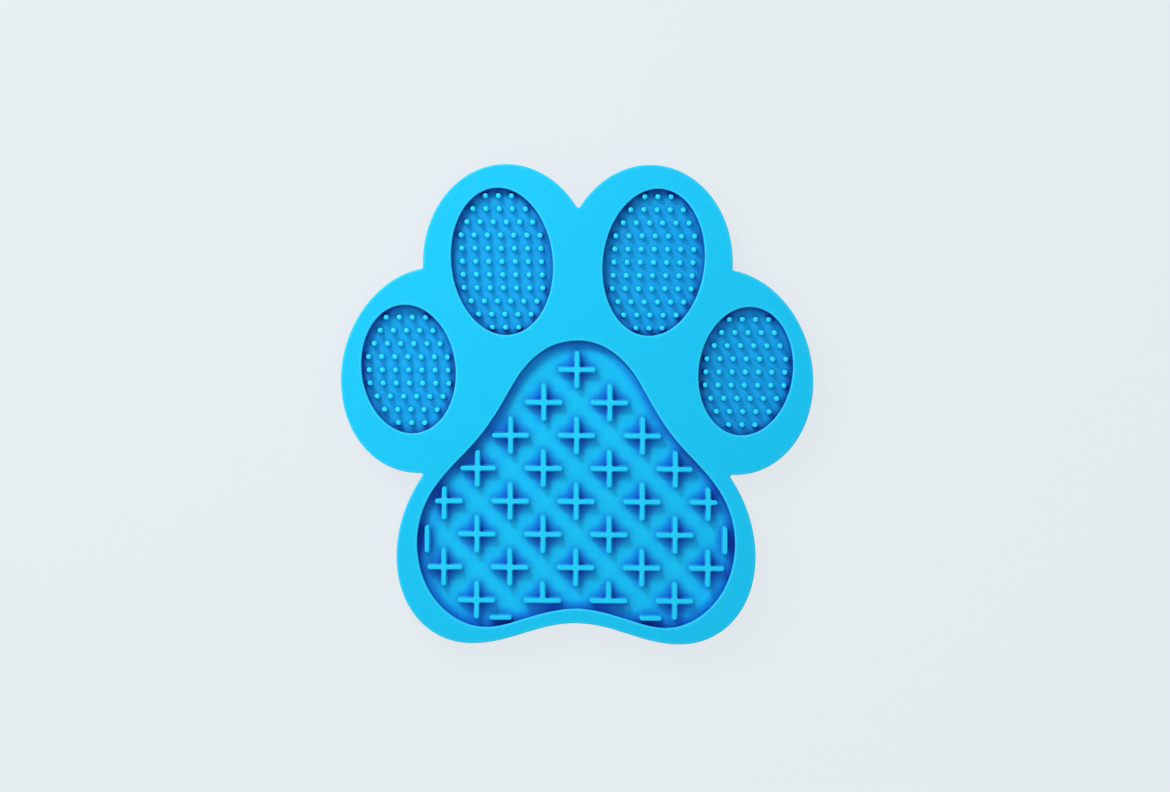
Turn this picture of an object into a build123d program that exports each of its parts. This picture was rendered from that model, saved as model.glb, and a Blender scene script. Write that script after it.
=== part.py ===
from build123d import *
import math
import os
from collections.abc import Iterator
from dataclasses import dataclass

# A paw-shaped silicone lick mat with suction cups on its back.
# Frame: the mat lies flat, toes towards +Y, up is +Z, and the cups' lips stand on Z = 0.
# All lengths are in millimetres and all angles in degrees.

# Layers, from the surface that the mat stands on
CUP_HEIGHT = 4.0
SHEET_THICKNESS = 2.5
RIM_HEIGHT = 7.0

# Inner toe well: an ellipse whose top leans outward
INNER_TOE_X = 33.2
INNER_TOE_Y = 62.2
INNER_TOE_WIDTH = 44.4
INNER_TOE_LENGTH = 64.6
INNER_TOE_TILT = 6.6

# Lobe of the rim round the inner toe well
INNER_RIM_SIDE = 15.1
INNER_RIM_END = 11.9
INNER_LOBE_INSET = 2.7
INNER_LOBE_DROP = 1.5
INNER_LOBE_TILT = 4.9

# Outer toe well
OUTER_TOE_X = 73.8
OUTER_TOE_Y = 14.8
OUTER_TOE_WIDTH = 41.1
OUTER_TOE_LENGTH = 56.4
OUTER_TOE_TILT = 7.5

# Lobe of the rim round the outer toe well, which leans the other way
OUTER_RIM_SIDE = 16.6
OUTER_RIM_END = 17.3
OUTER_LOBE_INSET = 8.1
OUTER_LOBE_DROP = 0.4
OUTER_LOBE_TILT = -14.1

# Pad well: a smooth closed curve, given for one side as shares of half its width and of its length
PAD_WELL_TOP_Y = 27.7
PAD_WELL_WIDTH = 139.2
PAD_WELL_LENGTH = 125.4
PAD_WELL_EDGE_SHARES = (
    (0.0, 0.0),
    (0.19, 0.027),
    (0.352, 0.11),
    (0.471, 0.221),
    (0.648, 0.361),
    (0.833, 0.472),
    (0.958, 0.584),
    (1.0, 0.71),
    (0.958, 0.835),
    (0.818, 0.946),
    (0.609, 1.0),
    (0.3, 0.968),
    (0.0, 0.936),
)

# Lobes of the rim round the pad well, the arch between them, and the least rim anywhere
PAD_RIM_SIDE = 9.0
PAD_RIM_END = 7.3
PAD_ARCH_RIM = 6.3
PAD_ARCH_EASE_SHARE = 0.37
PAD_LOBE_WIDTH_SHARE = 0.5632
PAD_LOBE_TOP_DROP = 35.67
PAD_LOBE_TILT = -27.8
PAD_RIM_LEAST = 5.0

# Rounded edges of the rim and the sheet, and the turn above which two curves of the outline make a corner
SMOOTH_COSINE_SHARE = 0.99
NOTCH_RADIUS = 0.8
NOTCH_EDGE_SHARE = 0.3
RIM_EDGE_RADIUS = 0.7
WELL_LIP_RADIUS = 0.6
SHEET_EDGE_RADIUS = 1.0

# Ribs of the pad well: crosses on a staggered lattice, and short bars along the wall
RIB_WIDTH = 2.2
RIB_HEIGHT = 6.0
RIB_TOP_RADIUS = 0.5
RIB_CORNER_RADIUS = 0.7
RIB_WALL_CLEARANCE = 3.1
CROSS_LENGTH = 16.5
CROSS_PITCH = 14.46
CROSS_TOP_OFFSET = 12.7
SHORTEST_ARM_SHARE = 0.42
SIDE_BAR_LENGTH = 12.3
RIB_GAP = 2.5
SIDE_BAR_OFFSET_SHARE = 0.6954
SIDE_BAR_CLEARANCE = 2.5
BOTTOM_BAR_LENGTH = 9.8
BOTTOM_BAR_X_SHARE = 0.4713
BOTTOM_BAR_CLEARANCE = 1.0

# Nubs of the toe wells: rows across each well, centred between its walls
NUB_PITCH = 5.78
NUB_BASE_DIAMETER = 2.5
NUB_TIP_DIAMETER = 2.0
NUB_HEIGHT = 5.5
NUB_DOME_HEIGHT = 0.8
NUB_WALL_MARGIN = 2.7
OUTER_NUB_ROW_DROP = 0.4

# Suction cups: one under each toe well and five under the pad well
CUP_LIP_DIAMETER = 24.0
CUP_NECK_DIAMETER = 9.0
CUP_LIP_THICKNESS = 0.6
CUP_SEAT_WIDTH = 1.2
CUP_ROOF_THICKNESS = 1.4
PAD_CUP_SHARES = {
    "pad_top": (0.0, 0.22),
    "pad_left": (-0.46, 0.51),
    "pad_right": (0.46, 0.51),
    "pad_lower_left": (-0.62, 0.81),
    "pad_lower_right": (0.62, 0.81),
}

# Levels and places worked out from the sizes above
SHEET_TOP_Z = CUP_HEIGHT + SHEET_THICKNESS
PAD_HALF_WIDTH = PAD_WELL_WIDTH / 2
PAD_WELL_BOTTOM_Y = PAD_WELL_TOP_Y - PAD_WELL_LENGTH
SIDES = {"left": -1, "right": 1}
QUARTERS = ((1, 0), (0, 1), (-1, 0), (0, -1))


@dataclass(frozen=True)
class Oval:
    """An ellipse on the right of the mat, whose top leans outward, with a mirror twin on the left."""

    x: float
    y: float
    half_width: float
    half_length: float
    tilt: float

    def face(self, side: int) -> Sketch:
        """The ellipse itself, or its twin for side -1."""
        twin = Pos(-self.x, self.y) * Rot(0, 0, self.tilt) * Ellipse(self.half_width, self.half_length)
        if side < 0:
            return twin
        return mirror(twin, about=Plane.YZ)

    def reach_y(self) -> float:
        """Half of the ellipse's extent along Y."""
        turn = math.radians(self.tilt)
        return math.hypot(self.half_width * math.sin(turn), self.half_length * math.cos(turn))

    def lean(self) -> float:
        """Outward shift, per length up, of the middle of the ellipse's level chords."""
        turn = math.radians(self.tilt)
        spread = self.half_length**2 - self.half_width**2
        return spread * math.sin(turn) * math.cos(turn) / self.reach_y() ** 2

    def half_chord(self, rise: float) -> float:
        """Half of the level chord at a height above the centre, and zero past the ends."""
        left = self.reach_y() ** 2 - rise**2
        if left <= 0:
            return 0
        return self.half_width * self.half_length * math.sqrt(left) / self.reach_y() ** 2


INNER_WELL = Oval(INNER_TOE_X, INNER_TOE_Y, INNER_TOE_WIDTH / 2, INNER_TOE_LENGTH / 2, INNER_TOE_TILT)
OUTER_WELL = Oval(OUTER_TOE_X, OUTER_TOE_Y, OUTER_TOE_WIDTH / 2, OUTER_TOE_LENGTH / 2, OUTER_TOE_TILT)
TOE_WELLS = {"inner": INNER_WELL, "outer": OUTER_WELL}
NUB_ROW_DROPS = {"inner": 0, "outer": OUTER_NUB_ROW_DROP}


def inner_lobe() -> Oval:
    """The rim's lobe round the inner toe well, larger than the well by the rim's walls."""
    half_width = INNER_WELL.half_width + INNER_RIM_SIDE
    half_length = INNER_WELL.half_length + INNER_RIM_END
    x = INNER_WELL.x - INNER_LOBE_INSET
    return Oval(x, INNER_WELL.y - INNER_LOBE_DROP, half_width, half_length, INNER_LOBE_TILT)


def outer_lobe() -> Oval:
    """The rim's lobe round the outer toe well."""
    half_width = OUTER_WELL.half_width + OUTER_RIM_SIDE
    half_length = OUTER_WELL.half_length + OUTER_RIM_END
    x = OUTER_WELL.x - OUTER_LOBE_INSET
    return Oval(x, OUTER_WELL.y - OUTER_LOBE_DROP, half_width, half_length, OUTER_LOBE_TILT)


def pad_lobe() -> Oval:
    """The rim's lobe round half of the pad well: a wall past its widest and lowest points, and up beside its flank."""
    half_width = PAD_LOBE_WIDTH_SHARE * PAD_WELL_WIDTH / 2
    bottom_y = PAD_WELL_BOTTOM_Y - PAD_RIM_END
    reach_y = (PAD_WELL_TOP_Y - PAD_LOBE_TOP_DROP - bottom_y) / 2
    tilt = math.radians(PAD_LOBE_TILT)
    half_length = math.sqrt(reach_y**2 - (half_width * math.sin(tilt)) ** 2) / math.cos(tilt)
    reach_x = math.hypot(half_width * math.cos(tilt), half_length * math.sin(tilt))
    x = PAD_HALF_WIDTH + PAD_RIM_SIDE - reach_x
    return Oval(x, bottom_y + reach_y, half_width, half_length, PAD_LOBE_TILT)


def pad_place(x_share: float, y_share: float) -> tuple[float, float]:
    """A place in the pad well, from its shares of half the width and of the length below the top."""
    return (x_share * PAD_HALF_WIDTH, PAD_WELL_TOP_Y - y_share * PAD_WELL_LENGTH)


def pad_well(rim: float = 0) -> Sketch:
    """The pad well's outline, one smooth closed curve, or a curve of its form that is larger by a rim."""
    half_width = PAD_HALF_WIDTH + rim
    length = PAD_WELL_LENGTH + 2 * rim
    top_y = PAD_WELL_TOP_Y + rim
    right = [(x_share * half_width, top_y - y_share * length) for x_share, y_share in PAD_WELL_EDGE_SHARES]
    left = [(-x, y) for x, y in reversed(right[1:-1])]
    return make_face(Spline(*right, *left, periodic=True))


def sharp_corners(outline: Sketch) -> list[Vertex]:
    """The corners where an outline turns, and not the points where one curve runs on into the next."""
    edges = outline.face().outer_wire().order_edges()
    corners = []
    for edge, following in zip(edges, edges[1:] + edges[:1]):
        vertex = edge.vertices().sort_by(lambda end: end.distance_to(following))[0]
        directions = []
        for curve in (edge, following):
            near_end = min((0, 1), key=lambda end: vertex.distance_to(Vertex(curve.position_at(end))))
            directions.append(curve.tangent_at(near_end))
        if abs(directions[0].dot(directions[1])) < SMOOTH_COSINE_SHARE:
            corners.append(vertex)
    return corners


def paw_outline() -> Sketch:
    """The mat's outline: six lobes, a core that joins their centres and the pad's least rim, with rounded notches."""
    pad = pad_lobe()
    lobes = (pad, outer_lobe(), inner_lobe())
    low_x = pad.x - pad.lean() * pad.reach_y()
    low_y = pad.y - pad.reach_y()
    arch_y = pad_place(*PAD_WELL_EDGE_SHARES[-1])[1] - PAD_ARCH_RIM
    ease = PAD_ARCH_EASE_SHARE * low_x
    arch = Bezier((0, arch_y), (ease, arch_y), (low_x - ease, low_y), (low_x, low_y))
    right_corners = [(low_x, low_y)] + [(lobe.x, lobe.y) for lobe in lobes]
    left_corners = [(-x, y) for x, y in reversed(right_corners)]
    outline = make_face([arch, mirror(arch, about=Plane.YZ), Polyline(*right_corners, *left_corners)])
    for lobe in lobes:
        for side in SIDES.values():
            outline += lobe.face(side)
    outline += pad_well(PAD_RIM_LEAST)
    shortest = min(edge.length for edge in outline.edges())
    return fillet(sharp_corners(outline), min(NOTCH_RADIUS, NOTCH_EDGE_SHARE * shortest))


def base_sheet(outline: Sketch) -> Part:
    """The sheet under the whole paw, whose top is the floor of all five wells, with its lower edge rounded."""
    sheet = extrude(outline, SHEET_THICKNESS)
    underside = sheet.faces().sort_by(Axis.Z)[0]
    sheet = fillet(underside.outer_wire().edges(), SHEET_EDGE_RADIUS)
    return Pos(0, 0, CUP_HEIGHT) * sheet


def rim_deck(outline: Sketch) -> Part:
    """The raised surround: the paw with its five wells cut through, and its upper edges rounded."""
    plate = outline - pad_well()
    for well in TOE_WELLS.values():
        for side in SIDES.values():
            plate -= well.face(side)
    deck = extrude(plate, RIM_HEIGHT)
    top = deck.faces().sort_by(Axis.Z)[-1]
    lips = [edge for wire in top.inner_wires() for edge in wire.edges()]
    deck = fillet(lips, WELL_LIP_RADIUS)
    top = deck.faces().sort_by(Axis.Z)[-1]
    deck = fillet(top.outer_wire().edges(), RIM_EDGE_RADIUS)
    return Pos(0, 0, SHEET_TOP_Z) * deck


def raised_rib(plan: Sketch) -> Part:
    """A rib of the given plan on the pad well's floor, with its top edge rounded."""
    rib = extrude(plan, RIB_HEIGHT)
    top = rib.faces().sort_by(Axis.Z)[-1]
    rib = fillet(top.outer_wire().edges(), RIB_TOP_RADIUS)
    return Pos(0, 0, SHEET_TOP_Z) * rib


def clear_run(room: Sketch, start: tuple[float, float], end: tuple[float, float]) -> float:
    """The length of the straight run from a start in a region towards an end, up to the region's edge."""
    line = Edge.make_line(start, end)
    runs = [run for face in room.faces() for run in line.intersect(face) or []]
    return min(runs, key=lambda run: run.distance_to(Vertex(*start))).length


def cross_plan(room: Sketch, x: float, y: float) -> Sketch:
    """A cross of round-ended arms, each cut short at the room's edge and left out if only a stub is left."""
    half_width = RIB_WIDTH / 2
    full_reach = CROSS_LENGTH / 2
    edges = []
    corners = []
    has_arm = []
    for along_x, along_y in QUARTERS:

        def spot(along: float, across: float) -> tuple[float, float]:
            return (x + along_x * along - along_y * across, y + along_y * along + along_x * across)

        reach = clear_run(room, (x, y), spot(full_reach, 0))
        start = spot(half_width, -half_width)
        end = spot(half_width, half_width)
        corners.append(end)
        has_arm.append(reach > SHORTEST_ARM_SHARE * full_reach)
        if not has_arm[-1]:
            edges.append(Line(start, end))
            continue
        neck = reach - half_width
        edges.append(Line(start, spot(neck, -half_width)))
        edges.append(ThreePointArc(spot(neck, -half_width), spot(reach, 0), spot(neck, half_width)))
        edges.append(Line(spot(neck, half_width), end))
    plan = make_face(edges)
    inner = []
    for quarter, corner in enumerate(corners):
        if has_arm[quarter] and has_arm[(quarter + 1) % len(QUARTERS)]:
            inner.append(plan.vertices().sort_by_distance(corner)[0])
    return fillet(inner, RIB_CORNER_RADIUS)


def cross_sites(room: Sketch) -> Iterator[tuple[float, float]]:
    """The places of the staggered lattice that lie in the room."""
    rows = math.ceil(PAD_WELL_LENGTH / CROSS_PITCH)
    columns = math.ceil(PAD_HALF_WIDTH / CROSS_PITCH)
    for row in range(rows):
        for column in range(-columns, columns + 1):
            x = column * CROSS_PITCH
            y = PAD_WELL_TOP_Y - CROSS_TOP_OFFSET - row * CROSS_PITCH
            if (row + column) % 2 == 0 and any(face.is_inside((x, y)) for face in room.faces()):
                yield x, y


def crosses(room: Sketch) -> list[Sketch]:
    """The plans of all crosses of the pad well."""
    return [cross_plan(room, x, y) for x, y in cross_sites(room)]


def bar_plans(x: float, y: float, length: float, turn: float) -> list[Sketch]:
    """The plans of a short bar and of its mirror twin."""
    bar = SlotOverall(length, RIB_WIDTH, rotation=turn)
    return [Pos(side * x, y) * bar for side in SIDES.values()]


def side_bars(well: Sketch) -> list[Sketch]:
    """The upright bars beside the pad well's widest stretch, whose ends are nearest to its edge."""
    y = PAD_WELL_TOP_Y - SIDE_BAR_OFFSET_SHARE * PAD_WELL_LENGTH
    end_levels = (y - SIDE_BAR_LENGTH / 2, y + SIDE_BAR_LENGTH / 2)
    edge_x = min(clear_run(well, (0, level), (PAD_WELL_WIDTH, level)) for level in end_levels)
    return bar_plans(edge_x - SIDE_BAR_CLEARANCE - RIB_WIDTH / 2, y, SIDE_BAR_LENGTH, 90)


def bottom_bars(well: Sketch) -> list[Sketch]:
    """The level bars above the pad well's bottom edge, which is nearest to their inner ends."""
    x = BOTTOM_BAR_X_SHARE * PAD_HALF_WIDTH
    inner_x = x - BOTTOM_BAR_LENGTH / 2
    start_y = PAD_WELL_TOP_Y - SIDE_BAR_OFFSET_SHARE * PAD_WELL_LENGTH
    edge_y = start_y - clear_run(well, (inner_x, start_y), (inner_x, start_y - PAD_WELL_LENGTH))
    return bar_plans(x, edge_y + BOTTOM_BAR_CLEARANCE + RIB_WIDTH / 2, BOTTOM_BAR_LENGTH, 0)


def ribs(plans: list[Sketch]) -> Compound:
    """Ribs of the given plans, as separate solids."""
    return Compound([raised_rib(plan).solid() for plan in plans])


def nub() -> Part:
    """One nub at the origin: a slightly tapered post with a domed tip."""
    base_radius = NUB_BASE_DIAMETER / 2
    tip_radius = NUB_TIP_DIAMETER / 2
    shoulder = NUB_HEIGHT - NUB_DOME_HEIGHT
    dome_radius = (tip_radius**2 + NUB_DOME_HEIGHT**2) / (2 * NUB_DOME_HEIGHT)
    outline = [
        Polyline((0, NUB_HEIGHT), (0, 0), (base_radius, 0), (tip_radius, shoulder)),
        RadiusArc((tip_radius, shoulder), (0, NUB_HEIGHT), -dome_radius),
    ]
    return revolve(Plane.XZ * make_face(outline), Axis.Z)


def nub_sites(toe: str) -> Iterator[tuple[float, float]]:
    """The places of the nubs of a right-hand toe well, row by row from the bottom."""
    well = TOE_WELLS[toe]
    rows = math.ceil(well.half_length / NUB_PITCH)
    for row in range(-rows, rows + 1):
        rise = row * NUB_PITCH - NUB_ROW_DROPS[toe]
        room = well.half_chord(rise) - NUB_WALL_MARGIN
        if room < 0:
            continue
        count = 1 + math.floor(2 * room / NUB_PITCH)
        middle = well.x + well.lean() * rise
        for place in range(count):
            yield middle + (place - (count - 1) / 2) * NUB_PITCH, well.y + rise


def toe_nubs(toe: str, side: int) -> Compound:
    """The nubs of one toe well, as separate solids."""
    post = nub().solid()
    return Compound([Pos(side * x, y, SHEET_TOP_Z) * post for x, y in nub_sites(toe)])


def suction_cup() -> Part:
    """One suction cup at the origin: a neck that flares into a thin lip, hollow underneath."""
    lip_radius = CUP_LIP_DIAMETER / 2
    seat_radius = lip_radius - CUP_SEAT_WIDTH
    hollow = CUP_HEIGHT - CUP_ROOF_THICKNESS
    hollow_radius = (seat_radius**2 + hollow**2) / (2 * hollow)
    outer = Polyline(
        (0, hollow),
        (0, CUP_HEIGHT),
        (CUP_NECK_DIAMETER / 2, CUP_HEIGHT),
        (lip_radius, CUP_LIP_THICKNESS),
        (lip_radius, 0),
        (seat_radius, 0),
    )
    inner = RadiusArc((seat_radius, 0), (0, hollow), -hollow_radius)
    return revolve(Plane.XZ * make_face([outer, inner]), Axis.Z)


def cup_sites() -> dict[str, tuple[float, float]]:
    """The place of every suction cup, by the name of the well above it."""
    sites = {name: pad_place(*shares) for name, shares in PAD_CUP_SHARES.items()}
    for toe, well in TOE_WELLS.items():
        for side_name, side in SIDES.items():
            sites[f"{toe}_{side_name}_toe"] = (side * well.x, well.y)
    return sites


def build_nodes() -> dict[str, Compound]:
    """Every node of the mat by its name."""
    outline = paw_outline()
    well = pad_well()
    room = offset(well, -RIB_WALL_CLEARANCE)
    upright_bars = side_bars(well)
    level_bars = bottom_bars(well)
    for bar in upright_bars + level_bars:
        room -= offset(bar, RIB_GAP)
    nodes = {
        "base_sheet": base_sheet(outline),
        "rim_deck": rim_deck(outline),
        "pad_cross_ribs": ribs(crosses(room)),
        "pad_side_bars": ribs(upright_bars),
        "pad_bottom_bars": ribs(level_bars),
    }
    for toe in TOE_WELLS:
        for side_name, side in SIDES.items():
            nodes[f"{toe}_{side_name}_toe_nubs"] = toe_nubs(toe, side)
    for name, (x, y) in cup_sites().items():
        nodes[f"{name}_cup"] = Pos(x, y, 0) * suction_cup()
    return nodes


def main() -> None:
    """Builds every node and writes it to its own file."""
    os.makedirs("parts", exist_ok=True)
    for name, shape in build_nodes().items():
        export_step(shape, os.path.join("parts", f"{name}.step"))


if __name__ == "__main__":
    main()
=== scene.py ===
import logging
import math
from dataclasses import dataclass
from enum import Enum

import bmesh
import bpy
from mathutils import Matrix, Vector


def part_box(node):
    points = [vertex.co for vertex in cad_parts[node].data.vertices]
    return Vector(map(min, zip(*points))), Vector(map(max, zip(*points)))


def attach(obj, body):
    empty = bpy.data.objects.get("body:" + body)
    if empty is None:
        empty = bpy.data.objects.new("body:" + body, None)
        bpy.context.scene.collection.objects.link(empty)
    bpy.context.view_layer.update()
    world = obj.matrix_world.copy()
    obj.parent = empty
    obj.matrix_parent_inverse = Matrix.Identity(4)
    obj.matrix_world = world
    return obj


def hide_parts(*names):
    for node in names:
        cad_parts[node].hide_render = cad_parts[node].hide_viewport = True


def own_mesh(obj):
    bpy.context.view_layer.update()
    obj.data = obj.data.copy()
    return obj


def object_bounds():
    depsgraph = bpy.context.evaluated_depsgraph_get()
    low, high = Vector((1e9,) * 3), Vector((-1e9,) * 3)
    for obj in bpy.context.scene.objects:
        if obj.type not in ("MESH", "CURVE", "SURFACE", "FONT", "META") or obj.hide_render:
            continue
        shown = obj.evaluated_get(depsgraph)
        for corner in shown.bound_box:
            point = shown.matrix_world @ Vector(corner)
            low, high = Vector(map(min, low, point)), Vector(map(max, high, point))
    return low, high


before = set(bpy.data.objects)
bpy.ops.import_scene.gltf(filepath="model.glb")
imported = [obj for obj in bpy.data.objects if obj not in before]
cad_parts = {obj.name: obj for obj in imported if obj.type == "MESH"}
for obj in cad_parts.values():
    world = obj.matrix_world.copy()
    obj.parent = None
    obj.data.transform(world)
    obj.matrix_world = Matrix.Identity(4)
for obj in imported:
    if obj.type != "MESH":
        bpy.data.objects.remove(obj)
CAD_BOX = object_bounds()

# A paw-shaped silicone lick mat, dressed on its frame and seen from straight above on a pale floor.
# Lengths are in metres, in the frame's own axes. MM turns a size in millimetres into metres.

log = logging.getLogger("lick_mat")
MM = 0.001

# Corners nearer than these are one corner: of CAD triangles, of turned or cut shapes, and of rib plans.
SAME_CAD_CORNER = 0.0005 * MM
SAME_CORNER = 0.001 * MM
SAME_PLAN_CORNER = 0.01 * MM
# Faces that meet at a smaller angle are shaded as one smooth surface.
SMOOTH_ANGLE = math.radians(50)
# Highest weight of the modifier that lets large flat faces keep their own normal.
FLAT_FACE_WEIGHT = 100
# A face whose normal rises more than this looks up.
UPWARD = 0.5

Colour = tuple[float, float, float, float]


def linear(hex_code: str) -> Colour:
    """Turns an sRGB hex colour into linear red, green, blue and alpha.

    Args:
        hex_code: Six hex digits after a hash sign.

    Returns:
        The linear colour, with an alpha of one.
    """
    shares = [int(hex_code[at : at + 2], 16) / 255 for at in (1, 3, 5)]
    red, green, blue = [s / 12.92 if s <= 0.04045 else ((s + 0.055) / 1.055) ** 2.4 for s in shares]
    return red, green, blue, 1.0


def add_node(tree: bpy.types.NodeTree, kind: str, inputs: dict | None = None, **settings) -> bpy.types.Node:
    """Adds a node with its settings and inputs.

    Args:
        tree: The node tree that takes the node.
        kind: The node's type name.
        inputs: Socket names or numbers, each with its value or with the socket that feeds it.
        settings: The node's own properties.

    Returns:
        The new node.
    """
    node = tree.nodes.new(kind)
    for name, value in settings.items():
        setattr(node, name, value)
    for name, value in (inputs or {}).items():
        if isinstance(value, bpy.types.NodeSocket):
            tree.links.new(value, node.inputs[name])
        else:
            node.inputs[name].default_value = value
    return node


@dataclass(frozen=True)
class SiliconeFinish:
    """Moulded silicone: a pigmented, slightly translucent rubber with the satin skin of its tool.

    Its colour carries painted shade: an ambient occlusion mask runs it from the open surface's cyan to a deep
    blue where nearby walls close a place in, standing in for the shade that falls in narrow places.

    Attributes:
        name: The material's name.
        open_hex: Colour of an open surface.
        painted_shade_half_hex: Painted shade colour of a half closed place.
        painted_shade_deep_hex: Painted shade colour of a narrow place.
        painted_shade_reach_mm: How near the walls are that close a place in and darken it with painted shade.
        painted_shade_stops: Openness at which a place has the deep painted shade, the half painted shade and
            the open colour.
        roughness: Roughness of the skin, lowest and highest.
        gloss: Specular level, low for a skin that is dusty from its release powder.
        ior: Refractive index of silicone rubber.
        scatter_share: Share of the light that goes into the rubber and comes out near by.
        scatter_mm: How far it goes.
        scatter_reach: Share of that way for red, green and blue.
        grain_mm: Size of the skin's grain, as coarse as it needs to be to show.
        grain_depth_mm: Depth of the grain.
        grain_strength: How much of the depth shows.
        mottle_mm: Size of the clouds in the pigment.
        mottle_share: How far the clouds shift the colour.
        painted_highlight_hex: Colour of the painted highlight on upper edges, if the piece has one.
        painted_highlight_mm: Width of the painted highlight.
        painted_highlight_span: Inward openness where the painted highlight starts and where it is full.
        painted_highlight_from_mm: Height above which edges get the painted highlight.
    """

    name: str
    open_hex: str
    painted_shade_half_hex: str
    painted_shade_deep_hex: str
    painted_shade_reach_mm: float = 7.0
    painted_shade_stops: tuple[float, float, float] = (0.25, 0.62, 0.95)
    roughness: tuple[float, float] = (0.42, 0.54)
    gloss: float = 0.22
    ior: float = 1.41
    scatter_share: float = 0.35
    scatter_mm: float = 1.8
    scatter_reach: tuple[float, float, float] = (0.15, 0.55, 1.0)
    grain_mm: float = 0.9
    grain_depth_mm: float = 0.03
    grain_strength: float = 0.35
    mottle_mm: float = 14.0
    mottle_share: float = 0.05
    painted_highlight_hex: str = ""
    painted_highlight_mm: float = 1.2
    painted_highlight_span: tuple[float, float] = (0.95, 0.6)
    painted_highlight_from_mm: float = 11.5

    def material(self) -> bpy.types.Material:
        """Gives the finish as a material, made once.

        Returns:
            The material.
        """
        made = bpy.data.materials.get(self.name)
        if made:
            return made
        made = bpy.data.materials.new(self.name)
        made.use_nodes = True
        tree = made.node_tree
        tree.nodes.clear()
        place = add_node(tree, "ShaderNodeTexCoord").outputs["Object"]
        pigment = self.pigment(tree, place)
        clouds = add_node(tree, "ShaderNodeTexNoise", {"Vector": place, "Scale": 1 / (self.mottle_mm * MM)})
        roughness = add_node(
            tree,
            "ShaderNodeMapRange",
            {"Value": clouds.outputs["Fac"], "To Min": self.roughness[0], "To Max": self.roughness[1]},
        )
        shader = add_node(
            tree,
            "ShaderNodeBsdfPrincipled",
            {
                "Base Color": pigment,
                "Roughness": roughness.outputs["Result"],
                "Normal": self.grain(tree, place),
                "IOR": self.ior,
                "Specular IOR Level": self.gloss,
                "Subsurface Weight": self.scatter_share,
                "Subsurface Radius": self.scatter_reach,
                "Subsurface Scale": self.scatter_mm * MM,
            },
        )
        add_node(tree, "ShaderNodeOutputMaterial", {"Surface": shader.outputs["BSDF"]})
        return made

    def pigment(self, tree: bpy.types.NodeTree, place: bpy.types.NodeSocket) -> bpy.types.NodeSocket:
        """Adds the pigment's colour, faintly clouded, with painted shade that deepens it in closed places.

        Args:
            tree: The material's node tree.
            place: The piece's own coordinates.

        Returns:
            The colour.
        """
        # Painted shade: an ambient occlusion mask turns the colour a deeper blue in closed places.
        openness = add_node(
            tree, "ShaderNodeAmbientOcclusion", {"Distance": self.painted_shade_reach_mm * MM}, samples=16
        ).outputs["AO"]
        clouds = add_node(
            tree,
            "ShaderNodeTexNoise",
            {"Vector": place, "Scale": 1 / (self.mottle_mm * MM), "Detail": 3.0},
        ).outputs["Fac"]
        shift = add_node(
            tree,
            "ShaderNodeMapRange",
            {"Value": clouds, "To Min": -self.mottle_share, "To Max": self.mottle_share},
        ).outputs["Result"]
        level = add_node(tree, "ShaderNodeMath", {0: openness, 1: shift}, operation="ADD").outputs["Value"]
        ramp = add_node(tree, "ShaderNodeValToRGB", {"Fac": level})
        deep, open_stop = ramp.color_ramp.elements
        deep.position = self.painted_shade_stops[0]
        deep.color = linear(self.painted_shade_deep_hex)
        open_stop.position = self.painted_shade_stops[2]
        open_stop.color = linear(self.open_hex)
        half = ramp.color_ramp.elements.new(self.painted_shade_stops[1])
        half.color = linear(self.painted_shade_half_hex)
        colour = ramp.outputs["Color"]
        return self.paint_lip_highlight(tree, place, colour) if self.painted_highlight_hex else colour

    def paint_lip_highlight(
        self, tree: bpy.types.NodeTree, place: bpy.types.NodeSocket, colour: bpy.types.NodeSocket
    ) -> bpy.types.NodeSocket:
        """Paints a highlight on the upper edges: a paler colour along them, for the light that they catch.

        Args:
            tree: The material's node tree.
            place: The piece's own coordinates.
            colour: The pigment's colour.

        Returns:
            The colour with the painted highlight on its upper edges.
        """
        # Painted highlight: an inward ambient occlusion mask finds the convex upper edges and pales them.
        inward = add_node(
            tree,
            "ShaderNodeAmbientOcclusion",
            {"Distance": self.painted_highlight_mm * MM},
            samples=8,
            inside=True,
            only_local=True,
        ).outputs["AO"]
        edge = add_node(
            tree,
            "ShaderNodeMapRange",
            {"Value": inward, "From Min": self.painted_highlight_span[0], "From Max": self.painted_highlight_span[1]},
        ).outputs["Result"]
        height = add_node(tree, "ShaderNodeSeparateXYZ", {"Vector": place}).outputs["Z"]
        upper = add_node(
            tree, "ShaderNodeMath", {0: height, 1: self.painted_highlight_from_mm * MM}, operation="GREATER_THAN"
        ).outputs["Value"]
        share = add_node(tree, "ShaderNodeMath", {0: edge, 1: upper}, operation="MULTIPLY").outputs["Value"]
        mixed = add_node(
            tree, "ShaderNodeMixRGB", {"Fac": share, "Color1": colour, "Color2": linear(self.painted_highlight_hex)}
        )
        return mixed.outputs["Color"]

    def grain(self, tree: bpy.types.NodeTree, place: bpy.types.NodeSocket) -> bpy.types.NodeSocket:
        """Adds the fine grain that the tool's blasted wall leaves on the skin.

        Args:
            tree: The material's node tree.
            place: The piece's own coordinates.

        Returns:
            The bumped normal.
        """
        noise = add_node(
            tree,
            "ShaderNodeTexNoise",
            {"Vector": place, "Scale": 1 / (self.grain_mm * MM), "Detail": 2.0},
        ).outputs["Fac"]
        bump = add_node(
            tree,
            "ShaderNodeBump",
            {"Height": noise, "Strength": self.grain_strength, "Distance": self.grain_depth_mm * MM},
        )
        return bump.outputs["Normal"]


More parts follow.
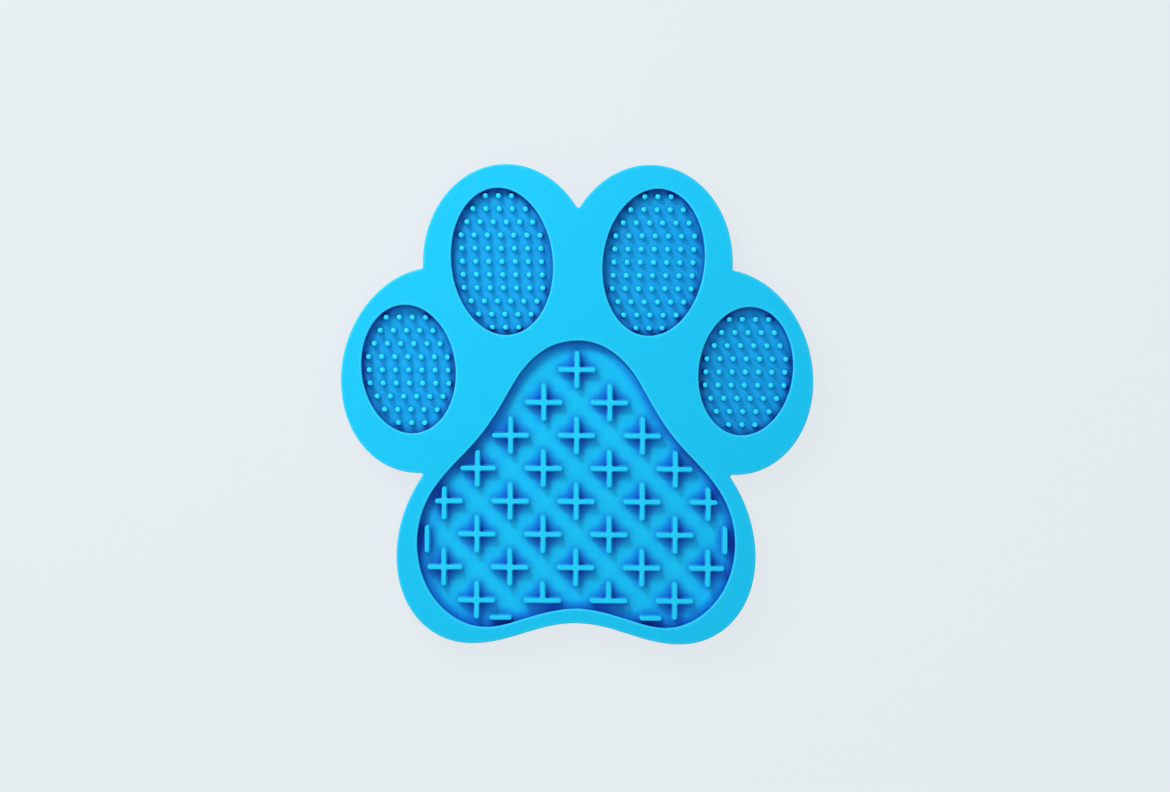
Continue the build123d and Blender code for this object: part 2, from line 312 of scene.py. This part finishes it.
class Finish(Enum):
    """The mat's finishes, all of one silicone, by the part of the tool that moulds them."""

    # The deck's wall of the tool is fine blasted, which gives a smooth satin cyan, and its upper edges get a
    # painted highlight, a paler colour.
    DECK = SiliconeFinish(
        "silicone_moulded_satin_deck", "#0EC8F5", "#10A2FF", "#0A46EA", painted_highlight_hex="#48E0FF"
    )
    # The pad well's floor is the tool's plain milled face, slightly smoother than the deck.
    PAD_WELL = SiliconeFinish(
        "silicone_moulded_pad_well_floor",
        "#0CCAF8",
        "#0AA0E2",
        "#0656C6",
        painted_shade_reach_mm=5.0,
        painted_shade_stops=(0.35, 0.76, 0.97),
        roughness=(0.38, 0.48),
        grain_mm=0.7,
    )
    # The toe wells' floors are milled too. Their open colour is a little darker than the pad floor's, as
    # painted shade, and their painted shade near walls reaches less far, so they stay pale between nubs that
    # close them in from all sides.
    TOE_WELL = SiliconeFinish(
        "silicone_moulded_toe_well_floor",
        "#0CBEF0",
        "#0AAAE8",
        "#0640B0",
        painted_shade_reach_mm=3.3,
        painted_shade_stops=(0.35, 0.76, 0.97),
        roughness=(0.38, 0.48),
        grain_mm=0.7,
    )
    # The ribs come from milled slots, and their open colour is paler than the deck's, a painted highlight for
    # the light that their tops catch.
    RIB = SiliconeFinish(
        "silicone_moulded_rib",
        "#16D2FC",
        "#0CA6F0",
        "#0640B4",
        painted_shade_reach_mm=4.0,
        roughness=(0.36, 0.46),
        gloss=0.3,
    )
    # The nubs come from drilled holes, polished by the drill. Their open colour is much paler than the
    # deck's, a painted highlight for their lit tips.
    NUB = SiliconeFinish(
        "silicone_moulded_nub",
        "#2AE0FF",
        "#0EAAF2",
        "#0640B4",
        painted_shade_reach_mm=3.0,
        roughness=(0.32, 0.42),
        gloss=0.3,
    )
    # The cups come from turned and polished inserts, so that their lips seal, which makes them glossy.
    CUP = SiliconeFinish(
        "silicone_moulded_polished_cup",
        "#0EC6F4",
        "#0CA4E8",
        "#0A6CCC",
        painted_shade_reach_mm=4.0,
        roughness=(0.2, 0.28),
        gloss=0.35,
        grain_depth_mm=0.01,
    )


@dataclass(frozen=True)
class Extent:
    """The box round one solid of a CAD node.

    Attributes:
        low: The lowest corner.
        high: The highest corner.
    """

    low: Vector
    high: Vector

    @property
    def middle(self) -> Vector:
        """The middle of the box."""
        return (self.low + self.high) / 2


def merged_copy(node: str) -> bmesh.types.BMesh:
    """Copies a CAD node's mesh and joins its loose triangles.

    Args:
        node: The node's name.

    Returns:
        The joined copy.
    """
    form = bmesh.new()
    form.from_mesh(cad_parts[node].data)
    bmesh.ops.remove_doubles(form, verts=form.verts, dist=SAME_CAD_CORNER)
    return form


def solid_extents(node: str) -> list[Extent]:
    """Finds the box of every solid of a CAD node.

    Args:
        node: The node's name.

    Returns:
        The boxes.
    """
    form = merged_copy(node)
    waiting = set(form.verts)
    extents = []
    while waiting:
        reached = [waiting.pop()]
        for vert in reached:
            fresh = {edge.other_vert(vert) for edge in vert.link_edges} & waiting
            waiting -= fresh
            reached.extend(fresh)
        corners = [[pick(vert.co[axis] for vert in reached) for axis in range(3)] for pick in (min, max)]
        extents.append(Extent(Vector(corners[0]), Vector(corners[1])))
    form.free()
    return extents


def turned(form: bmesh.types.BMesh, profile: tuple[tuple[float, float], ...], steps: int) -> None:
    """Turns a profile round the Z axis into a closed shape.

    Args:
        form: The mesh that takes the shape.
        profile: Radius and height of each point, in metres, from axis to axis or to an open foot.
        steps: Number of steps round.
    """
    points = [form.verts.new((radius, 0, height)) for radius, height in profile]
    lines = [form.edges.new(pair) for pair in zip(points, points[1:])]
    bmesh.ops.spin(
        form,
        geom=points + lines,
        cent=(0, 0, 0),
        axis=(0, 0, 1),
        angle=math.tau,
        steps=steps,
        use_merge=True,
    )
    bmesh.ops.remove_doubles(form, verts=form.verts, dist=SAME_CORNER)
    bmesh.ops.recalc_face_normals(form, faces=form.faces)


@dataclass
class MatPart:
    """A piece of the mat that stands for a CAD node.

    Attributes:
        name: The piece's name.
        node: The CAD node that it stands for.
        finish: Its finish.
        body: The body that it rides on.
    """

    name: str
    node: str
    finish: Finish
    body: str = "mat"

    def shape(self) -> bmesh.types.BMesh:
        """Makes the piece's mesh; every kind of part has its own."""
        raise NotImplementedError

    def build(self) -> bpy.types.Object:
        """Makes the piece, dresses it, hangs it on its body and hides the CAD node that it stands for.

        Returns:
            The piece.
        """
        form = self.shape()
        mesh = bpy.data.meshes.new(self.name)
        form.to_mesh(mesh)
        form.free()
        piece = bpy.data.objects.new(self.name, mesh)
        bpy.context.scene.collection.objects.link(piece)
        self.dress(piece)
        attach(piece, self.body)
        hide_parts(self.node)
        log.info("%s: %d faces on %s", self.name, len(mesh.polygons), self.body)
        return piece

    def dress(self, piece: bpy.types.Object) -> None:
        """Gives the piece its material and smooth shading that leaves flat faces flat.

        Args:
            piece: The piece.
        """
        mesh = piece.data
        mesh.materials.clear()
        mesh.materials.append(self.finish.value.material())
        mesh.shade_smooth()
        mesh.set_sharp_from_angle(angle=SMOOTH_ANGLE)
        weighted = piece.modifiers.new("flat_faces_first", "WEIGHTED_NORMAL")
        weighted.weight = FLAT_FACE_WEIGHT
        weighted.keep_sharp = True


@dataclass
class Skin(MatPart):
    """A deck or sheet whose CAD shape is right, and which only gets a smooth skin."""

    def shape(self) -> bmesh.types.BMesh:
        """Copies the node's mesh with its triangles joined."""
        return merged_copy(self.node)


@dataclass
class WellSheet(Skin):
    """The sheet under the deck, which is the floor of the pad well and of the toe wells.

    Attributes:
        toe_finish: Finish of the toe wells' floors.
        border: What a point's distance from the mid line and its Y add up to on the border of the toes' part.
    """

    toe_finish: Finish = Finish.TOE_WELL
    border: float = 36.0 * MM

    def shape(self) -> bmesh.types.BMesh:
        """Copies the node's mesh and cuts its faces along the border, which the deck hides.

        Returns:
            The sheet.
        """
        form = super().shape()
        for side in (-1, 1):
            bmesh.ops.bisect_plane(
                form,
                geom=form.verts[:] + form.edges[:] + form.faces[:],
                dist=SAME_CORNER,
                plane_co=(0, self.border, 0),
                plane_no=(side, 1, 0),
            )
        return form

    def dress(self, piece: bpy.types.Object) -> None:
        """Gives the sheet its finish, and the floors in the toes' part their own.

        Args:
            piece: The sheet.
        """
        super().dress(piece)
        piece.data.materials.append(self.toe_finish.value.material())
        for face in piece.data.polygons:
            beyond = abs(face.center.x) + face.center.y > self.border
            face.material_index = int(beyond and face.normal.z > UPWARD)


@dataclass
class RibField(MatPart):
    """Ribs on the pad well's floor: crosses, tees or bars.

    Attributes:
        half_width: Half of a rib's width at mid height.
        flare: How far the rounded foot spreads on the floor.
        draft: How much a wall leans in from foot to top.
        top_radius: Radius of the top edge.
        corner_radius: Radius between two arms at the foot.
        pitch: Distance of the staggered places along each axis.
        arm: Length of a whole arm from its hub.
        bar_widths: A rib narrower than so many half widths is a bar.
        stub_share: An arm that reaches less far than this share of the foot's half width is left out.
        end_share: Radius of an arm's end, as a share of the foot's half width.
        nook_share: Corners nearer to the hub than this share of the foot's half width are nooks.
        straight: A corner that turns less is none.
        round_steps: Steps round a corner of the plan.
        turns: Angles of the steps round the foot and the top edge.
    """

    half_width: float = 1.1 * MM
    flare: float = 0.45 * MM
    draft: float = 0.08 * MM
    top_radius: float = 0.45 * MM
    corner_radius: float = 0.35 * MM
    pitch: float = 14.46 * MM
    arm: float = 8.25 * MM
    bar_widths: float = 3.0
    stub_share: float = 1.2
    end_share: float = 0.999
    nook_share: float = 2.0
    straight: float = math.radians(1)
    round_steps: int = 4
    turns: tuple[float, ...] = tuple(math.radians(angle) for angle in (0, 30, 60, 90))

    @property
    def foot_half(self) -> float:
        """Half of a rib's width at its foot."""
        return self.half_width + self.flare

    def shape(self) -> bmesh.types.BMesh:
        """Builds every rib of the node in its own box.

        Returns:
            The ribs.
        """
        form = bmesh.new()
        extents = solid_extents(self.node)
        first_y = max(extent.high.y for extent in extents) - self.arm
        for extent in extents:
            self.raise_rib(form, extent, self.hub(extent, first_y))
        return form

    def hub(self, extent: Extent, first_y: float) -> Vector:
        """Finds where a rib's arms meet.

        Args:
            extent: The rib's box.
            first_y: Y of the top row's hub, if the ribs are crosses.

        Returns:
            The hub, at the foot of the rib.
        """
        middle = extent.middle
        size = extent.high - extent.low
        if min(size.x, size.y) < self.bar_widths * self.half_width:
            return Vector((middle.x, middle.y, extent.low.z))
        column = round(middle.x / self.pitch)
        row = round((first_y - middle.y) / self.pitch)
        return Vector((column * self.pitch, first_y - row * self.pitch, extent.low.z))

    def raise_rib(self, form: bmesh.types.BMesh, extent: Extent, hub: Vector) -> None:
        """Builds one rib: a plan of two to four arms, raised in steps that round its foot and its top.

        Args:
            form: The mesh that takes the rib.
            extent: The rib's box.
            hub: Where the rib's arms meet.
        """
        half = self.foot_half
        core = bmesh.ops.create_grid(
            form, x_segments=1, y_segments=1, size=half, matrix=Matrix.Translation(hub)
        )["verts"]
        faces = set(core[0].link_faces)
        for edge in list({edge for vert in core for edge in vert.link_edges}):
            outward = (edge.verts[0].co + edge.verts[1].co) / 2 - hub
            direction = outward.normalized()
            limit = extent.high if direction.x + direction.y > 0 else extent.low
            reach = abs((limit - hub).dot(direction)) + self.flare
            if reach < self.stub_share * half:
                continue
            made = bmesh.ops.extrude_edge_only(form, edges=[edge])["geom"]
            tips = [part for part in made if isinstance(part, bmesh.types.BMVert)]
            bmesh.ops.translate(form, vec=direction * (reach - half), verts=tips)
            faces |= {part for part in made if isinstance(part, bmesh.types.BMFace)}
        plan = bmesh.ops.dissolve_faces(form, faces=list(faces))["region"][0]
        plan.normal_update()
        if plan.normal.z < 0:
            plan.normal_flip()
        top = self.round_corners(form, plan, hub)
        for inset, rise in self.steps(extent.high.z - extent.low.z):
            bmesh.ops.inset_region(
                form, faces=[top], thickness=inset, use_boundary=True, use_even_offset=True
            )
            bmesh.ops.translate(form, vec=(0, 0, rise), verts=top.verts[:])

    def round_corners(
        self, form: bmesh.types.BMesh, plan: bmesh.types.BMFace, hub: Vector
    ) -> bmesh.types.BMFace:
        """Rounds the arms' ends and the nooks between the arms of a plan.

        Args:
            form: The mesh that holds the plan.
            plan: The plan's face.
            hub: Where the rib's arms meet.

        Returns:
            The rounded plan.
        """
        near = self.nook_share * self.foot_half
        straight = [vert for vert in plan.verts if vert.calc_edge_angle(0) < self.straight]
        bmesh.ops.dissolve_verts(form, verts=straight)
        ends = [vert for vert in plan.verts if (vert.co - hub).length > near]
        nooks = [vert for vert in plan.verts if (vert.co - hub).length <= near]
        for corners, radius in ((ends, self.end_share * self.foot_half), (nooks, self.corner_radius)):
            bmesh.ops.bevel(
                form,
                geom=corners,
                offset=radius,
                offset_type="OFFSET",
                segments=self.round_steps,
                profile=0.5,
                affect="VERTICES",
                material=-1,
            )
        top = min(form.faces, key=lambda face: ((face.calc_center_median() - hub).length, -len(face.verts)))
        bmesh.ops.remove_doubles(form, verts=top.verts[:], dist=SAME_PLAN_CORNER)
        return top

    def steps(self, height: float) -> list[tuple[float, float]]:
        """Works out the steps from a rib's foot to its top.

        Args:
            height: The rib's height.

        Returns:
            The inset and the rise of each step.
        """
        foot = [(self.flare * math.sin(turn), self.flare * (1 - math.cos(turn))) for turn in self.turns]
        edge = [
            (self.top_radius * (1 - math.cos(turn)), self.top_radius * math.sin(turn)) for turn in self.turns
        ]
        wall = height - self.flare - self.top_radius
        rises = [(b[0] - a[0], b[1] - a[1]) for a, b in zip(foot, foot[1:])]
        rises.append((self.draft, wall))
        return rises + [(b[0] - a[0], b[1] - a[1]) for a, b in zip(edge, edge[1:])]


@dataclass
class NubField(MatPart):
    """The nubs of one toe well, each a tapered post with a rounded foot and a nearly flat tip.

    Attributes:
        profile_mm: Radius and height of the post's points, in millimetres.
        sides: Steps round a post.
    """

    profile_mm: tuple[tuple[float, float], ...] = (
        (1.6, 0.0),
        (1.3, 0.35),
        (1.14, 5.0),
        (1.08, 5.3),
        (0.94, 5.46),
        (0.0, 5.5),
    )
    sides: int = 10

    def shape(self) -> bmesh.types.BMesh:
        """Turns one nub and sets a copy of it on every place of the node.

        Returns:
            The nubs.
        """
        form = bmesh.new()
        turned(form, tuple((radius * MM, height * MM) for radius, height in self.profile_mm), self.sides)
        first = form.verts[:] + form.edges[:] + form.faces[:]
        for extent in solid_extents(self.node):
            made = bmesh.ops.duplicate(form, geom=first)["geom"]
            place = Vector((extent.middle.x, extent.middle.y, extent.low.z))
            bmesh.ops.translate(
                form, vec=place, verts=[part for part in made if isinstance(part, bmesh.types.BMVert)]
            )
        bmesh.ops.delete(
            form, geom=[part for part in first if isinstance(part, bmesh.types.BMVert)], context="VERTS"
        )
        return form


@dataclass
class SuctionCup(MatPart):
    """A suction cup: a short neck that flares into a thin lip, hollow underneath.

    Attributes:
        profile_mm: Radius and height of the cup's points, in millimetres, from the hollow's roof to the top.
        sides: Steps round the cup.
        flat_share: Share of its height that a flattened cup keeps; not used.
    """

    profile_mm: tuple[tuple[float, float], ...] = (
        (0.0, 2.6),
        (2.5, 2.47),
        (5.0, 2.08),
        (7.5, 1.4),
        (9.6, 0.62),
        (10.8, 0.06),
        (11.2, 0.0),
        (11.7, 0.0),
        (11.93, 0.12),
        (12.0, 0.32),
        (11.9, 0.5),
        (11.5, 0.68),
        (9.8, 1.34),
        (7.4, 2.42),
        (5.6, 3.22),
        (4.75, 3.66),
        (4.6, 3.85),
        (4.7, 4.0),
        (0.0, 4.0),
    )
    sides: int = 64
    flat_share: float = 0.5

    def shape(self) -> bmesh.types.BMesh:
        """Turns the cup and sets it on its node's place.

        Returns:
            The cup.
        """
        form = bmesh.new()
        turned(form, tuple((radius * MM, height * MM) for radius, height in self.profile_mm), self.sides)
        low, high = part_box(self.node)
        middle = (low + high) / 2
        bmesh.ops.translate(form, vec=Vector((middle.x, middle.y, low.z)), verts=form.verts)
        return form

    def build(self) -> bpy.types.Object:
        """Makes the cup and gives it a mesh of its own.

        Returns:
            The cup.
        """
        piece = super().build()
        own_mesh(piece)
        return piece


@dataclass
class Studio:
    """The pale floor, the light and the camera.

    Attributes:
        floor_hex: The floor's colour.
        floor_size: The floor's side.
        even_share: Share of the floor's look that is evenly bright, and not from light and shadow.
        dome: Level of the light from all round.
        lamps: Name, place, side and power of each lamp.
        view_middle: The point of the mat at the middle of the image.
        view_width: Width of the image at the mat's top.
        lens_mm: The camera's focal length.
        roll: Turn of the camera, in degrees.
    """

    floor_hex: str = "#E6EDF1"
    floor_size: float = 6.0
    even_share: float = 0.91
    dome: float = 0.56
    lamps: tuple[tuple[str, tuple[float, float, float], float, float], ...] = (
        ("soft_key", (-0.235, 0.42, 0.575), 0.16, 1.9),
        ("side_window", (-0.46, 0.2, 0.4), 0.6, 1.4),
    )
    view_middle: tuple[float, float] = (0.0035, 0.0035)
    view_width: float = 0.5119
    lens_mm: float = 135.0
    roll: float = 0.36

    def build(self) -> None:
        """Sets up floor, light and camera."""
        self.lay_floor()
        self.light()
        self.aim()

    def seen_directly(self, tree: bpy.types.NodeTree) -> bpy.types.NodeSocket:
        """Adds a mask that is one for rays straight from the camera, off gloss or through glass.

        Args:
            tree: The node tree that takes the mask.

        Returns:
            The mask.
        """
        path = add_node(tree, "ShaderNodeLightPath").outputs
        mask = path["Is Camera Ray"]
        for kind in ("Is Glossy Ray", "Is Transmission Ray"):
            mask = add_node(tree, "ShaderNodeMath", {0: mask, 1: path[kind]}, operation="MAXIMUM").outputs[0]
        return mask

    def lay_floor(self) -> None:
        """Lays a pale floor that is mostly evenly bright and still takes the mat's shadow."""
        form = bmesh.new()
        bmesh.ops.create_grid(form, x_segments=1, y_segments=1, size=self.floor_size / 2)
        mesh = bpy.data.meshes.new("floor")
        form.to_mesh(mesh)
        form.free()
        floor = bpy.data.objects.new("floor", mesh)
        bpy.context.scene.collection.objects.link(floor)
        paper = bpy.data.materials.new("paper_matt_backdrop")
        paper.use_nodes = True
        tree = paper.node_tree
        tree.nodes.clear()
        glow = add_node(tree, "ShaderNodeEmission", {"Color": linear(self.floor_hex), "Strength": 1.0})
        matt = add_node(tree, "ShaderNodeBsdfDiffuse", {"Color": linear(self.floor_hex)})
        share = add_node(
            tree,
            "ShaderNodeMath",
            {0: self.seen_directly(tree), 1: self.even_share},
            operation="MULTIPLY",
        )
        mixed = add_node(
            tree,
            "ShaderNodeMixShader",
            {0: share.outputs["Value"], 1: matt.outputs["BSDF"], 2: glow.outputs["Emission"]},
        )
        add_node(tree, "ShaderNodeOutputMaterial", {"Surface": mixed.outputs["Shader"]})
        mesh.materials.append(paper)

    def light(self) -> None:
        """Lights the mat with an even dome, one soft lamp beyond its top left and one on its left."""
        scene = bpy.context.scene
        scene.view_settings.view_transform = "Standard"
        world = bpy.data.worlds.new("pale_room")
        world.use_nodes = True
        scene.world = world
        tree = world.node_tree
        tree.nodes.clear()
        seen = add_node(tree, "ShaderNodeBackground", {"Color": linear(self.floor_hex), "Strength": 1.0})
        dome = add_node(tree, "ShaderNodeBackground", {"Color": linear("#FFFFFF"), "Strength": self.dome})
        mixed = add_node(
            tree,
            "ShaderNodeMixShader",
            {0: self.seen_directly(tree), 1: dome.outputs["Background"], 2: seen.outputs["Background"]},
        )
        add_node(tree, "ShaderNodeOutputWorld", {"Surface": mixed.outputs["Shader"]})
        for name, place, side, power in self.lamps:
            light = bpy.data.lights.new(name, "AREA")
            light.energy = power
            light.size = side
            lamp = bpy.data.objects.new(name, light)
            lamp.location = place
            lamp.rotation_euler = (-Vector(place)).to_track_quat("-Z", "Y").to_euler()
            lamp.visible_camera = False
            scene.collection.objects.link(lamp)

    def aim(self) -> None:
        """Hangs the camera straight above the mat with a long lens."""
        view = bpy.data.cameras.new("camera")
        view.lens = self.lens_mm
        camera = bpy.data.objects.new("camera", view)
        top = CAD_BOX[1].z
        distance = self.view_width * self.lens_mm / view.sensor_width
        camera.location = (*self.view_middle, top + distance)
        camera.rotation_euler = (0, 0, math.radians(self.roll))
        bpy.context.scene.collection.objects.link(camera)
        bpy.context.scene.camera = camera


def main() -> None:
    """Builds the mat's pieces in order, then the studio."""
    logging.basicConfig(level=logging.INFO, format="%(name)s %(message)s")
    parts: list[MatPart] = [
        Skin("moulded_deck", "rim_deck", Finish.DECK),
        WellSheet("moulded_sheet", "base_sheet", Finish.PAD_WELL),
        RibField("moulded_crosses", "pad_cross_ribs", Finish.RIB),
        RibField("moulded_side_bars", "pad_side_bars", Finish.RIB),
        RibField("moulded_bottom_bars", "pad_bottom_bars", Finish.RIB),
    ]
    for toe in ("inner_left", "inner_right", "outer_left", "outer_right"):
        parts.append(NubField(f"moulded_{toe}_nubs", f"{toe}_toe_nubs", Finish.NUB))
    for node in sorted(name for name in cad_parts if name.endswith("_cup")):
        parts.append(SuctionCup(f"moulded_{node}", node, Finish.CUP, body=node))
    for part in parts:
        part.build()
    Studio().build()


if __name__ == "__main__":
    main()
